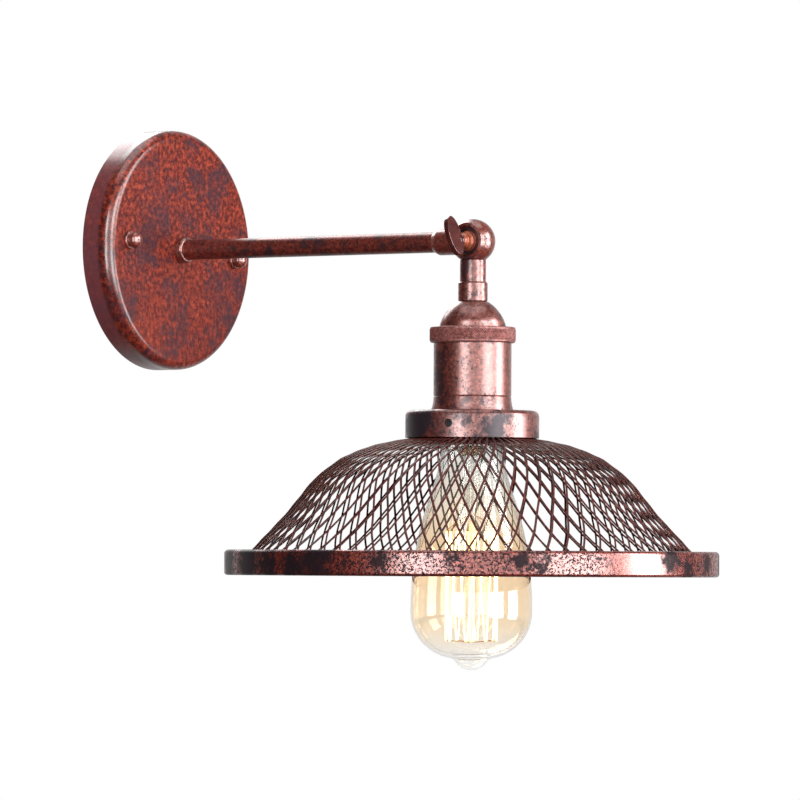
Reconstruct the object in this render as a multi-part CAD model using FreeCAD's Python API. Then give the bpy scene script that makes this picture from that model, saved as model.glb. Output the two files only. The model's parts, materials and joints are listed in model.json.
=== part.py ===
"""Cage wall light: canopy, fixed arm, clamped ball swivel and a wire-lattice shade over a filament bulb.

Millimetres, +Z up. The wall is the plane y = 0 and the light stands out from it along -Y.
The origin is on the wall, at the centre of the canopy's back.
"""

import FreeCAD
import Part
import math
import os

V = FreeCAD.Vector

# Canopy and its fixing
canopy_radius = 60.0
canopy_depth = 17.0
canopy_edge_radius = 5.0
sheet_thickness = 1.2
nut_spacing = 88.0
nut_line_tilt = 4.0
stud_radius = 2.0
stud_hole_radius = 2.2
stud_length = 20.6
nut_foot_radius = 4.6
nut_foot_height = 1.6
nut_foot_edge = 0.6
nut_thread_depth = 4.0
nut_neck_radius = 3.2
nut_neck_height = 2.6
nut_ball_radius = 4.0
nut_ball_height = 4.4
nut_crown_radius = 4.6
nut_crown_edge = 3.0
nut_top = 7.0
strap_length = 104.0
strap_width = 22.0
strap_thickness = 1.6
wall_hole_spacing = 60.0
wall_hole_radius = 2.5
wire_hole_radius = 8.0
earth_screw_offset = 15.0
earth_screw_gap = 0.2
earth_head_low = 5.0
earth_head_radius = 3.6
earth_head_height = 2.2

# Arm
hinge_out = 193.0
arm_radius = 5.0
arm_bore = 3.8
arm_inner_end = 8.0
arm_seat_in_collar = 14.0
flange_radius = 6.6
flange_height = 4.0
flange_edge = 1.2
arm_washer_radius = 9.0
arm_washer_thickness = 1.0
nut_across_flats = 14.0
locknut_height = 3.2

# Ball swivel
ball_radius = 10.8
ball_gap = 0.35
split_gap = 0.1
near_face = 6.25
far_face = 7.5
pocket_outer = 7.2
pocket_inner = 4.2
pocket_depth = 2.0
stub_start = 2.0
collar_radius = 6.4
collar_reach = 21.5
collar_taper = 2.6
collar_end_radius = 5.3
recess_radius = 7.5
recess_floor = 3.8
screw_radius = 2.5
screw_clearance = 0.08
wire_bore = 2.0
wire_bore_offset = 1.6
wire_bore_start = 5.0
neck_radius = 6.3
neck_length = 19.7

# Clamp screw
washer_radius = 5.0
washer_thickness = 1.2
boss_radius = 3.5
boss_end = 10.0
boss_edge = 0.6
screw_tip = 5.6
wing_centre = 16.7
wing_rise = 1.9
wing_half_width = 5.3
wing_half_length = 9.9
wing_thickness = 2.8
wing_tilt = 18.0
wing_edge = 0.5
wing_seat = 3.0

# Lampholder stack, by height below the hinge
sleeve_radius = 7.15
sleeve_bottom = -29.4
sleeve_step = 0.9
sleeve_step_height = 1.2
nipple_radius = 5.0
nipple_bore = 3.6
nipple_top = -13.0
nipple_bottom = -39.5
cap_radius = 16.0
cap_top_radius = 7.6
cap_bulge = (12.6, -33.9)
cap_shoulder = -40.5
cap_bore = 14.7
cap_bore_top = -41.5
cap_ceiling_radius = 11.0
cap_ceiling = -34.0
cap_bottom = -48.6
ring_top = -41.7
ring_bottom = -49.3
ring_radius = 21.0
ring_edge = 1.0
ring_lower_edge = 0.6
shell_radius = 18.9
shell_groove = 0.3
shell_line = -75.2
shell_bottom = -82.2
shell_flare_radius = 20.15
shell_flare_height = 6.2
shell_collar_radius = 14.6
shell_collar_bore = 13.4
shell_collar_top = -44.0
holder_top = -53.0
holder_bottom = -89.0
holder_floor = -63.0
holder_radius = 16.4
holder_bore = 14.5
holder_crown_radius = 13.0
holder_crown_height = 3.4
screw_shell_wall = 0.5
screw_shell_bottom = -87.0
rivet_radius = 2.2
rivet_top = -52.0
blade_gap = 0.4
blade_radius = 4.5
blade_thickness = 0.6
blade_tip_radius = 2.0
terminal_radius = 2.4
terminal_height = 2.0
terminal_offset = 8.5

# Gallery
gallery_radius = 32.5
gallery_wall = 1.5
gallery_top = -82.2
gallery_bottom = -95.5
gallery_edge_radius = 3.0
gallery_clearance = 0.1
shade_ring_flange = 22.0
shade_ring_flange_height = 2.0
shade_ring_radius = 19.0
shade_ring_height = 5.0
grub_height = -88.8
grub_radius = 2.0
grub_clearance = 0.05
grub_first_angle = 193.2
grub_sunk = 1.3
grub_socket_radius = 1.0
grub_socket_depth = 1.0
band_radius = 29.3
band_wall = 1.1
band_top = -85.6
band_flange_radius = 36.0
band_flange_thickness = 0.9

# Lattice: outer face of the shade at each station, with the number of crossings from the rim
strand_count = 70
strand_width = 1.05
strand_thickness = 0.9
strand_gap = 0.04
stations = [
    (107.0, -150.2, -0.2),
    (90.3, -132.3, 2.0),
    (75.8, -114.5, 4.15),
    (62.3, -104.7, 5.65),
    (47.8, -99.0, 7.4),
    (29.8, -95.27, 9.2),
]

# Rim
rim_radius = 120.0
rim_top = -150.2
rim_bottom = -162.5
rim_inner_radius = 105.3
rim_wall = 1.2
rim_corner = 2.0
hem_radius = 1.4

# Bulb: the envelope's profile is three arcs, then a belly and a tip with centres of their own
glass_wall = 0.8
glass_top = -91.0
glass_neck_radius = 14.3
glass_neck_end = -97.0
glass_arcs = [
    (21.2, -126.0, 16.6, -111.0),
    (28.9, -163.9, 26.9, -148.0),
    (29.5, -179.5, 29.4, -172.0),
]
belly_centre = (6.5, -179.5)
belly_radius = 23.0
tip_centre = -198.6
tip_radius = 9.4
base_radius = 13.1
base_top = -69.0
base_bottom = -92.5
base_end_radius = 7.0
base_shoulder = 3.5
base_wall = 0.8
skirt_radius = 14.9
skirt_height = 1.8
skirt_slope = 0.8
seat_height = 1.6
base_bore = 11.6
contact_top = -66.0
contact_radius = 3.9
contact_flat_radius = 2.6
contact_height = 0.9
contact_root = -70.5
stem_top = -93.0
stem_outline = [(4.6, -104.0), (3.2, -126.0), (1.5, -131.0), (1.5, -194.5)]
stem_seal_height = 1.2
cage_radius = 12.5
cage_top = -141.0
cage_bottom = -193.7
cage_turns = 16
wire_thickness = 0.6
support_root_radius = 1.3
support_root_top = -133.0
support_root_bottom = -194.0
support_gap = 0.25

arc_share = 1 - math.sqrt(0.5)  # distance of a quarter arc's middle from its corner, per radius
hinge = V(0, -hinge_out, 0)
across = V(1, 0, 0)
upward = V(0, 0, 1)


def outline(start, *steps):
    """Closed face in the r-z plane; a step (r, z) is a side, (r, z, rm, zm) an arc through (rm, zm)."""
    edges = []
    here = V(start[0], 0, start[1])
    for step in steps + (start,):
        there = V(step[0], 0, step[1])
        if len(step) == 4:
            edges.append(Part.Arc(here, V(step[2], 0, step[3]), there).toShape())
        else:
            edges.append(Part.makeLine(here, there))
        here = there
    return Part.Face(Part.Wire(edges))


def turned(start, *steps):
    """Solid turned from an outline about the z axis."""
    return outline(start, *steps).revolve(V(), upward, 360)


def tube(outer, inner, low, high):
    """Plain ring or tube along z."""
    body = Part.makeCylinder(outer, high - low, V(0, 0, low))
    return body.cut(Part.makeCylinder(inner, high - low, V(0, 0, low)))


def hexagon(across_flats, low, high, bore):
    """Hexagonal nut along z."""
    corner = across_flats / math.sqrt(3)
    turns = [k * math.pi / 3 for k in range(7)]
    points = [V(corner * math.cos(turn), corner * math.sin(turn), low) for turn in turns]
    body = Part.Face(Part.makePolygon(points)).extrude(V(0, 0, high - low))
    return body.cut(Part.makeCylinder(bore, high - low, V(0, 0, low)))


def on_wall(shape):
    """Turns a shape made along +z to stand out from the wall."""
    return shape.rotated(V(), across, 90)


def on_screw_axis(shape):
    """Turns a shape made along +z to point along -X from the hinge."""
    return shape.rotated(V(), V(0, 1, 0), -90).translated(hinge)


def on_lamp(shape):
    """Moves a shape made about the z axis to the lamp's axis."""
    return shape.translated(hinge)


def on_circle(radius, across_it):
    """Other coordinate of a point on a circle about the origin."""
    return math.sqrt(radius**2 - across_it**2)


def nut_places():
    """Centres of the two canopy fixings, in the wall plane."""
    tilt = math.radians(nut_line_tilt)
    half = nut_spacing / 2
    return [V(side * half * math.cos(tilt), -side * half * math.sin(tilt), 0) for side in (-1, 1)]


def canopy():
    """Spun steel pan, open at the back, with holes for the arm and the two studs."""
    r, d, e, t = canopy_radius, canopy_depth, canopy_edge_radius, sheet_thickness
    middle = e * arc_share
    pan = turned(
        (r, 0), (r, d - e), (r - e, d, r - middle, d - middle), (arm_radius, d), (arm_radius, d - t),
        (r - e, d - t), (r - t, d - e), (r - t, 0),
    )
    for place in nut_places():
        pan = pan.cut(Part.makeCylinder(stud_hole_radius, d, place))
    return on_wall(pan)


def mounting_strap():
    """Flat bar on the wall, tapped for the studs and the earth screw, with wall holes and a wire hole."""
    size = V(strap_length, strap_width, strap_thickness)
    bar = Part.makeBox(size.x, size.y, size.z, V(-size.x / 2, -size.y / 2, 0))
    for side in (-1, 1):
        bar = bar.cut(Part.makeCylinder(stud_radius, size.z, V(side * nut_spacing / 2, 0, 0)))
        bar = bar.cut(Part.makeCylinder(wall_hole_radius, size.z, V(side * wall_hole_spacing / 2, 0, 0)))
    bar = bar.cut(Part.makeCylinder(wire_hole_radius, size.z))
    bar = bar.cut(Part.makeCylinder(stud_radius, size.z, V(earth_screw_offset, 0, 0)))
    return on_wall(bar.rotated(V(), upward, -nut_line_tilt))


def ground_screw():
    """Earth screw in the strap."""
    shank = Part.makeCylinder(stud_radius, earth_head_low, V(earth_screw_offset, 0, earth_screw_gap))
    head = Part.makeCylinder(earth_head_radius, earth_head_height, V(earth_screw_offset, 0, earth_head_low))
    return on_wall(shank.fuse(head).removeSplitter().rotated(V(), upward, -nut_line_tilt))


def canopy_studs():
    """Two threaded studs that stand in the strap and carry the cap nuts."""
    return on_wall(Part.makeCompound([Part.makeCylinder(stud_radius, stud_length, p) for p in nut_places()]))


def cap_nuts():
    """Two ball-headed nuts that hold the canopy to the studs."""
    foot, neck, e, edge = nut_foot_radius, nut_neck_radius, nut_foot_edge, nut_crown_edge
    centre = nut_top - nut_crown_radius
    shoulder = centre + on_circle(nut_crown_radius, edge)
    middle = centre + on_circle(nut_crown_radius, edge / 2)
    nut = turned(
        (stud_radius, 0), (foot, 0), (foot, nut_foot_height - e),
        (foot - e, nut_foot_height, foot - e * arc_share, nut_foot_height - e * arc_share),
        (neck, nut_foot_height), (neck, nut_neck_height), (edge, shoulder, nut_ball_radius, nut_ball_height),
        (0, nut_top, edge / 2, middle), (0, nut_thread_depth), (stud_radius, nut_thread_depth),
    )
    nut = nut.translated(V(0, 0, canopy_depth))
    return on_wall(Part.makeCompound([nut.translated(p) for p in nut_places()]))


def arm_flange():
    """Rounded ring where the arm leaves the canopy."""
    low, high, r, e = canopy_depth, canopy_depth + flange_height, flange_radius, flange_edge
    middle = e * arc_share
    return on_wall(turned(
        (arm_radius, low), (r, low), (r, high - e), (r - e, high, r - middle, high - middle),
        (arm_radius, high),
    ))


def arm_tube():
    """Straight tube from inside the canopy to the swivel's collar; the wires run through it."""
    return on_wall(tube(arm_radius, arm_bore, arm_inner_end, hinge_out - arm_seat_in_collar))


def arm_washer():
    """Toothed washer inside the canopy, shown plain."""
    top = canopy_depth - sheet_thickness
    return on_wall(tube(arm_washer_radius, arm_radius, top - arm_washer_thickness, top))


def arm_locknut():
    """Thin nut that clamps the arm to the canopy."""
    top = canopy_depth - sheet_thickness - arm_washer_thickness
    return on_wall(hexagon(nut_across_flats, top - locknut_height, top, arm_radius))


def side_of_split(side, near, far):
    """Slab of the ball on one side of the split plane; side is -1 for the arm half, 1 for the lamp half."""
    depth = far - near
    low = near if side > 0 else -far
    half = 3 * ball_radius
    return Part.makeBox(depth, 2 * half, 2 * half, V(low, -half, -half))


def ball_half(side, face):
    """Half ball with a flat outer face and the ring-shaped wire pocket in its split face."""
    half = Part.makeSphere(ball_radius).common(side_of_split(side, split_gap / 2, face))
    pocket = tube(pocket_outer, pocket_inner, -pocket_depth, pocket_depth).rotated(V(), V(0, 1, 0), 90)
    return half.cut(pocket)


def clearance(side):
    """Space that the other half's ball needs as it turns."""
    ball = Part.makeSphere(ball_radius + ball_gap)
    return ball.common(side_of_split(side, -split_gap / 2, 2 * ball_radius))


def knuckle_arm_half():
    """Near half of the ball with the collar that the arm tube is pressed into."""
    reach, r = collar_reach, collar_radius
    collar = turned(
        (0, stub_start), (r, stub_start), (r, reach - collar_taper), (collar_end_radius, reach), (0, reach),
    )
    collar = collar.rotated(V(), across, -90).cut(clearance(1)).cut(Part.makeSphere(pocket_outer))
    body = ball_half(-1, near_face).fuse(collar)
    backward = V(0, 1, 0)
    wires_length = arm_seat_in_collar - wire_bore_start
    seat = Part.makeCylinder(arm_radius, reach, V(0, arm_seat_in_collar, 0), backward)
    wires = Part.makeCylinder(wire_bore, wires_length, V(-wire_bore_offset, wire_bore_start, 0), backward)
    recess = Part.makeCylinder(recess_radius, ball_radius, V(-recess_floor, 0, 0), -across)
    body = body.cut([seat, wires, recess, screw_hole()])
    return body.removeSplitter().translated(hinge)


def screw_hole():
    """Hole through the ball for the clamp screw."""
    return Part.makeCylinder(screw_radius + screw_clearance, 2 * ball_radius, V(-ball_radius, 0, 0), across)


def knuckle_lamp_half():
    """Far half of the ball with the neck that carries the lampholder."""
    neck = Part.makeCylinder(neck_radius, neck_length - stub_start, V(0, 0, -neck_length))
    body = ball_half(1, far_face).fuse(neck.cut(clearance(-1)).cut(Part.makeSphere(pocket_outer)))
    seat = Part.makeCylinder(nipple_radius, neck_length + nipple_top, V(0, 0, -neck_length))
    wires = Part.makeCylinder(wire_bore, -nipple_top - wire_bore_start, V(wire_bore_offset, 0, nipple_top))
    body = body.cut([seat, wires, screw_hole()])
    return body.removeSplitter().translated(hinge)


def clamp_washer():
    """Spring washer in the recess, under the screw's boss."""
    hole = screw_radius + screw_clearance
    return on_screw_axis(tube(washer_radius, hole, recess_floor, recess_floor + washer_thickness))


def thumb_screw():
    """Screw with a stepped boss and a flat oval wing."""
    seat = recess_floor + washer_thickness
    r, boss, end, e = screw_radius, boss_radius, wing_centre - wing_seat, boss_edge
    stem = turned(
        (0, -screw_tip), (r, -screw_tip), (r, seat), (boss, seat), (boss, boss_end - e), (boss - e, boss_end),
        (r, boss_end), (r, end), (0, end),
    )
    oval = Part.Ellipse(V(), wing_half_length, wing_half_width)
    face = Part.Face(Part.Wire(oval.toShape()))
    wing = face.extrude(V(0, 0, wing_thickness)).translated(V(0, 0, -wing_thickness / 2))
    wing = wing.makeChamfer(wing_edge, [edge for edge in wing.Edges if not isinstance(edge.Curve, Part.Line)])
    wing = wing.rotated(V(), across, 90).rotated(V(), upward, wing_tilt)
    wing = wing.translated(V(wing_rise, 0, wing_centre))
    return on_screw_axis(stem.fuse(wing))


def neck_sleeve():
    """Turned spacer between the neck and the lampholder's cap."""
    r, top, low = sleeve_radius, -neck_length, sleeve_bottom
    return on_lamp(turned(
        (nipple_radius, top), (r - sleeve_step, top), (r, top - sleeve_step_height), (r, low),
        (nipple_radius, low),
    ))


def threaded_nipple():
    """Hollow threaded tube that joins neck, sleeve and cap; the wires pass through it."""
    return on_lamp(tube(nipple_radius, nipple_bore, nipple_bottom, nipple_top))


def cap_locknut():
    """Nut on the nipple, under the cap's ceiling."""
    top = cap_ceiling
    return on_lamp(hexagon(nut_across_flats, top - locknut_height, top, nipple_radius))


def dome_cap():
    """Domed cap of the lampholder, with a skirt inside the knurled ring."""
    return on_lamp(turned(
        (nipple_radius, sleeve_bottom), (cap_top_radius, sleeve_bottom),
        (cap_radius, cap_shoulder, *cap_bulge), (cap_radius, cap_bottom), (cap_bore, cap_bottom),
        (cap_bore, cap_bore_top),
        (cap_ceiling_radius, cap_ceiling), (nipple_radius, cap_ceiling),
    ))


def knurled_ring():
    """Gripping ring round the joint of cap and shell."""
    r, top, low, e, f = ring_radius, ring_top, ring_bottom, ring_edge, ring_lower_edge
    middle = e * arc_share
    return on_lamp(turned(
        (cap_radius, top), (r - e, top), (r, top - e, r - middle, top - middle), (r, low + f), (r - f, low),
        (cap_radius, low),
    ))


def socket_shell():
    """Outer shell of the lampholder, flared at the foot where it sits on the gallery."""
    r, low, line, g = shell_radius, shell_bottom, shell_line, shell_groove
    under, bore = ring_bottom - sheet_thickness, holder_radius + gallery_clearance
    collar, hole, top = shell_collar_radius, shell_collar_bore, shell_collar_top
    flare = shell_flare_radius - r
    return on_lamp(turned(
        (hole, top), (collar, top), (collar, ring_bottom), (r, ring_bottom), (r, line), (r - g, line - g),
        (r, line - 2 * g), (r, low + shell_flare_height),
        (shell_flare_radius, low, r + flare / 4, low + shell_flare_height / 2), (bore, low), (bore, under),
        (hole, under),
    ))


def lamp_holder():
    """Ceramic lampholder: terminal block above, cup for the screw shell below."""
    r, top, low, floor = holder_radius, holder_top, holder_bottom, holder_floor
    return on_lamp(turned(
        (rivet_radius, top), (holder_crown_radius, top), (r, top - holder_crown_height), (r, low),
        (holder_bore, low), (holder_bore, floor), (rivet_radius, floor),
    ))


def screw_shell():
    """Brass shell that the bulb's base screws into."""
    return on_lamp(tube(holder_bore, holder_bore - screw_shell_wall, screw_shell_bottom, holder_floor))


def centre_contact():
    """Sprung centre contact with its rivet."""
    tip, blade = contact_top, holder_floor - blade_gap
    return on_lamp(turned(
        (0, rivet_top), (rivet_radius, rivet_top), (rivet_radius, blade), (blade_radius, blade),
        (blade_radius, blade - blade_thickness), (blade_tip_radius, tip), (0, tip),
    ))


def terminal_screws():
    """Two screws on the terminal block."""
    places = [V(side * terminal_offset, 0, holder_top) for side in (-1, 1)]
    screws = [Part.makeCylinder(terminal_radius, terminal_height, place) for place in places]
    return on_lamp(Part.makeCompound(screws))


def shade_ring():
    """Threaded ring that clamps the gallery against the shell."""
    r, top, flange, body = holder_radius, gallery_top - gallery_wall, shade_ring_flange, shade_ring_radius
    step, low = top - shade_ring_flange_height, top - shade_ring_height
    return on_lamp(turned((r, top), (flange, top), (flange, step), (body, step), (body, low), (r, low)))


def grub_directions():
    """Directions of the three grub screws from the lamp's axis."""
    angles = [math.radians(grub_first_angle + 120 * k) for k in range(3)]
    return [V(math.cos(a), math.sin(a), 0) for a in angles]


def shade_gallery():
    """Cup that holds the top of the lattice, tapped for three grub screws."""
    r, top, low, e, t = gallery_radius, gallery_top, gallery_bottom, gallery_edge_radius, gallery_wall
    middle, bore = e * arc_share, holder_radius + gallery_clearance
    cup = turned(
        (bore, top), (r - e, top), (r, top - e, r - middle, top - middle), (r, low), (r - t, low),
        (r - t, top - e), (r - e, top - t), (bore, top - t),
    )
    for direction in grub_directions():
        start = V(0, 0, grub_height) + direction * band_radius
        cup = cup.cut(Part.makeCylinder(grub_radius + grub_clearance, r, start, direction))
    return on_lamp(cup)


def gallery_grub_screws():
    """Three headless screws, sunk in the gallery's wall, that grip the lattice's top band."""
    screws = []
    for direction in grub_directions():
        start = V(0, 0, grub_height) + direction * band_radius
        length = gallery_radius - grub_sunk - band_radius
        screw = Part.makeCylinder(grub_radius, length, start, direction)
        floor = start + direction * (length - grub_socket_depth)
        socket = Part.makeCylinder(grub_socket_radius, grub_socket_depth, floor, direction)
        screws.append(screw.cut(socket))
    return on_lamp(Part.makeCompound(screws))


def station_frame(index):
    """Outer point, crossing count and inward direction at a station of the lattice."""
    r, z, crossings = stations[index]
    if index == 0:
        before, after = stations[0], stations[1]
    elif index == len(stations) - 1:
        before, after = stations[-2], stations[-1]
    else:
        before, after = stations[index - 1], stations[index + 1]
    along_r, along_z = before[0] - after[0], before[1] - after[1]
    length = math.hypot(along_r, along_z)
    inward_r, inward_z = along_z / length, -along_r / length
    if index == 0:
        inward_r, inward_z = 1 / inward_r, 0.0
    return r, z, crossings, inward_r, inward_z


def strand(depth, hand):
    """One strand from rim to gallery; depth is that of its outer face, hand its direction of twist."""
    half_pitch = 180.0 / strand_count
    sections = []
    for index in range(len(stations)):
        r, z, crossings, inward_r, inward_z = station_frame(index)
        angle = math.radians(hand * half_pitch * crossings)
        outward = V(math.cos(angle), math.sin(angle), 0)
        sideways = V(-math.sin(angle), math.cos(angle), 0) * (strand_width / 2)
        corners = []
        for extra, side in ((0, -1), (0, 1), (strand_thickness, 1), (strand_thickness, -1)):
            radius = r + inward_r * (depth + extra)
            height = z + inward_z * (depth + extra)
            corners.append(outward * radius + V(0, 0, height) + sideways * side)
        sections.append(Part.makePolygon(corners + corners[:1]))
    return Part.makeLoft(sections, True, True)


def strands(depth, hand):
    """Ring of strands of one layer."""
    first = strand(depth, hand)
    pitch = 360.0 / strand_count
    turns = [pitch * (k + 0.5) for k in range(strand_count)]
    return on_lamp(Part.makeCompound([first.rotated(V(), upward, turn) for turn in turns]))


def mesh_outer_strands():
    """Outer layer of the lattice."""
    return strands(0.0, 1)


def mesh_inner_strands():
    """Inner layer of the lattice, twisted the other way and welded to the outer at each crossing."""
    return strands(strand_thickness + strand_gap, -1)


def mesh_top_band():
    """Sleeve inside the gallery with a sloping flange that the strands' upper ends are welded to."""
    r, z, crossings, inward_r, inward_z = station_frame(len(stations) - 1)
    depth = 2 * strand_thickness + 2 * strand_gap
    slope = -inward_r / inward_z
    low_r, low_z = r + inward_r * depth, z + inward_z * depth
    inner_z = low_z + slope * (band_radius - low_r)
    outer_r = band_flange_radius
    outer_z = low_z + slope * (outer_r - low_r)
    bore = band_radius - band_wall
    return on_lamp(turned(
        (bore, band_top), (band_radius, band_top), (band_radius, inner_z), (outer_r, outer_z),
        (outer_r, outer_z - band_flange_thickness), (bore, inner_z - band_flange_thickness),
    ))


def shade_rim():
    """Rolled steel band at the mouth, rounded over at the top and hemmed inward at the bottom."""
    r, top, low, t, c, h = rim_radius, rim_top, rim_bottom, rim_wall, rim_corner, hem_radius
    middle, lip = c * arc_share, rim_radius - rim_corner
    return on_lamp(turned(
        (lip, top), (r, top - c, r - middle, top - middle), (r, low + h / 2), (r - h / 2, low),
        (r - 1.5 * h, low), (r - 2 * h, low + h / 2), (r - 2 * h, low + h), (r - t, low + 1.6 * h),
        (r - t, top - c), (lip, top - t),
    ))


def rim_flange():
    """Flat ring welded inside the top of the band; the strands' lower ends stand on it."""
    return on_lamp(tube(rim_radius - rim_corner, rim_inner_radius, rim_top - rim_wall, rim_top))


def belly_meets_tip(offset):
    """Point where the belly's circle crosses the tip's, both moved inward by an offset."""
    belly, tip = belly_radius - offset, tip_radius - offset
    r, z = belly_centre
    apart = math.hypot(r, tip_centre - z)
    along = (belly**2 - tip**2 + apart**2) / (2 * apart)
    aside = math.sqrt(belly**2 - along**2)
    toward_r, toward_z = -r / apart, (tip_centre - z) / apart
    return r + along * toward_r - aside * toward_z, z + along * toward_z + aside * toward_r


def middle_of_arc(centre_r, centre_z, radius, start, end):
    """Point halfway along an arc between two of its points."""
    first = math.atan2(start[1] - centre_z, start[0] - centre_r)
    last = math.atan2(end[1] - centre_z, end[0] - centre_r)
    angle = (first + last) / 2
    return centre_r + radius * math.cos(angle), centre_z + radius * math.sin(angle)


def glass_outline(offset):
    """Bulb's profile from neck to tip, moved inward by an offset."""
    neck = glass_neck_radius - offset
    join = belly_meets_tip(offset)
    widest = (glass_arcs[-1][0] - offset, glass_arcs[-1][1])
    lowest = (0, tip_centre - tip_radius + offset)
    arcs = [(r - offset, z, rm - offset, zm) for r, z, rm, zm in glass_arcs]
    belly = middle_of_arc(*belly_centre, belly_radius - offset, widest, join)
    tip = middle_of_arc(0, tip_centre, tip_radius - offset, join, lowest)
    return [(neck, glass_top), (neck, glass_neck_end), *arcs, (*join, *belly), (*lowest, *tip)]


def bulb_glass():
    """Blown glass envelope."""
    wall = turned(*glass_outline(0), (0, glass_top))
    hollow = turned(*glass_outline(glass_wall), (0, glass_top))
    return on_lamp(wall.cut(hollow))


def bulb_screw_base():
    """Thin brass base with a skirt round the glass; its rolled thread is left plain."""
    r, low, top, skirt, bore = base_radius, base_bottom, base_top, skirt_radius, base_bore
    slope = low + skirt_height + skirt_slope
    seat = low + seat_height
    return on_lamp(turned(
        (base_end_radius, top), (r - base_shoulder, top), (r, top - base_shoulder), (r, slope),
        (skirt, low + skirt_height), (skirt, low), (glass_neck_radius, low), (glass_neck_radius, seat),
        (bore, seat), (bore, top - 3 * base_wall), (base_end_radius, top - base_wall),
    ))


def bulb_insulator():
    """Black glass insulator between the base and its centre contact."""
    inner, outer, low = contact_radius, base_end_radius, base_top - base_wall
    top = contact_top - contact_height
    return on_lamp(turned((inner, top), (outer, base_top), (outer, low), (inner, low)))


def bulb_contact():
    """Solder contact at the top of the base."""
    flat, r, top = contact_flat_radius, contact_radius, contact_top
    low = contact_root
    return on_lamp(turned((0, top), (flat, top), (r, top - contact_height), (r, low), (0, low)))


def bulb_stem():
    """Glass stem that carries the filament, with its flare sealed to the neck."""
    seal, top = glass_neck_radius - glass_wall, stem_top
    foot = (0, stem_outline[-1][1])
    return on_lamp(turned((0, top), (seal, top), (seal, top - stem_seal_height), *stem_outline, foot))


def wire(start, end):
    """Straight square wire between two points."""
    direction = (end - start).normalize()
    t = wire_thickness
    bar = Part.makeBox(t, t, start.distanceToPoint(end), V(-t / 2, -t / 2, 0))
    bar.Placement = FreeCAD.Placement(start, FreeCAD.Rotation(upward, direction))
    return bar


def ring_point(radius, z, turn):
    """Point on a ring about the lamp's axis; turn is a share of the full circle."""
    return V(radius * math.cos(2 * math.pi * turn), radius * math.sin(2 * math.pi * turn), z)


def cage_point(index):
    """Top or bottom corner of the filament; even corners are at the top."""
    return ring_point(cage_radius, cage_bottom if index % 2 else cage_top, index / cage_turns)


def bulb_filament():
    """Squirrel-cage filament: one wire that zigzags down and up round the stem."""
    points = [cage_point(k) for k in range(cage_turns)]
    legs = [wire(points[k], points[k + 1]) for k in range(len(points) - 1)]
    return on_lamp(legs[0].fuse(legs[1:]))


def filament_supports():
    """Thin wires from the stem to each corner of the filament."""
    wires = []
    for k in range(cage_turns):
        root_level = support_root_bottom if k % 2 else support_root_top
        root = ring_point(support_root_radius, root_level, k / cage_turns)
        corner = cage_point(k)
        end = ring_point(cage_radius - support_gap, corner.z, k / cage_turns)
        wires.append(wire(root, end))
    return on_lamp(Part.makeCompound(wires))


nodes = [
    canopy, mounting_strap, ground_screw, canopy_studs, cap_nuts, arm_flange, arm_tube, arm_washer,
    arm_locknut, knuckle_arm_half, knuckle_lamp_half, clamp_washer, thumb_screw, neck_sleeve,
    threaded_nipple, cap_locknut, dome_cap, knurled_ring, socket_shell, lamp_holder, screw_shell,
    centre_contact, terminal_screws, shade_ring, shade_gallery, gallery_grub_screws, mesh_outer_strands,
    mesh_inner_strands, mesh_top_band, shade_rim, rim_flange, bulb_glass, bulb_screw_base, bulb_insulator,
    bulb_contact, bulb_stem, bulb_filament, filament_supports,
]

os.makedirs("parts", exist_ok=True)
for node in nodes:
    shape = node()
    shape.exportStep("parts/" + node.__name__ + ".step")
    print(node.__name__, len(shape.Solids), "solids", shape.isValid(), round(shape.Volume, 1), "mm3")
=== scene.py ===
import json
import math

import bmesh
import bpy
from mathutils import Euler, Matrix, Vector


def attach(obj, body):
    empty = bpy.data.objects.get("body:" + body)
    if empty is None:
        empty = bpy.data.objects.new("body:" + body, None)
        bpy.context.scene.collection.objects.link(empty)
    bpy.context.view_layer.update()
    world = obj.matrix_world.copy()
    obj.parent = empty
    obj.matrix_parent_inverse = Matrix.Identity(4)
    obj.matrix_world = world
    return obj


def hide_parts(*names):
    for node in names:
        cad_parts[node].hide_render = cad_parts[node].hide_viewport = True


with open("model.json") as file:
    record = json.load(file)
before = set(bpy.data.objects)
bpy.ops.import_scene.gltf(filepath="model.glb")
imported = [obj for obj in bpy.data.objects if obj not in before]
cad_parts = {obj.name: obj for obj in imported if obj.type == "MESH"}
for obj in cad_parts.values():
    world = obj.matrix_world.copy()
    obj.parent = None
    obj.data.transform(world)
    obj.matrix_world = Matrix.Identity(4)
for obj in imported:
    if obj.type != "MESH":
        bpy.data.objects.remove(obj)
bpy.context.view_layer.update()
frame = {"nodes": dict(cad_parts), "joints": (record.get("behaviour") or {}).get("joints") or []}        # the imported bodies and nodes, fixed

mm = 0.001
nearly = 0.01 * mm        # places this close count as one
jointPlaces = {joint["name"]: joint.get("pos_m") for joint in frame["joints"]}
hinge = Vector(jointPlaces["head_tilt"])        # the lamp hangs on the vertical line through it
upward = Vector((0, 0, 1))
sideways = Vector((1, 0, 0))
outOfWall = Vector((0, -1, 0))

# the camera's distance, heading and small tilts were found from the photograph's outlines
cameraView = {
    "target": (0.0, -0.100, -0.060),
    "distance": 3.0605,
    "azimuth": -54.536,
    "elevation": -1.799,
    "aimAzimuth": -55.3105,
    "aimElevation": -1.5025,
    "roll": 0.298,
    "lens": 278.85,
    "sensor": 36.0,
}


def backDirection(azimuth, elevation):
    # from the object back towards a camera or lamp; an azimuth of 0 looks at the wall squarely
    a, e = math.radians(azimuth), math.radians(elevation)
    return Vector((math.sin(a) * math.cos(e), -math.cos(a) * math.cos(e), math.sin(e)))


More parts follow.
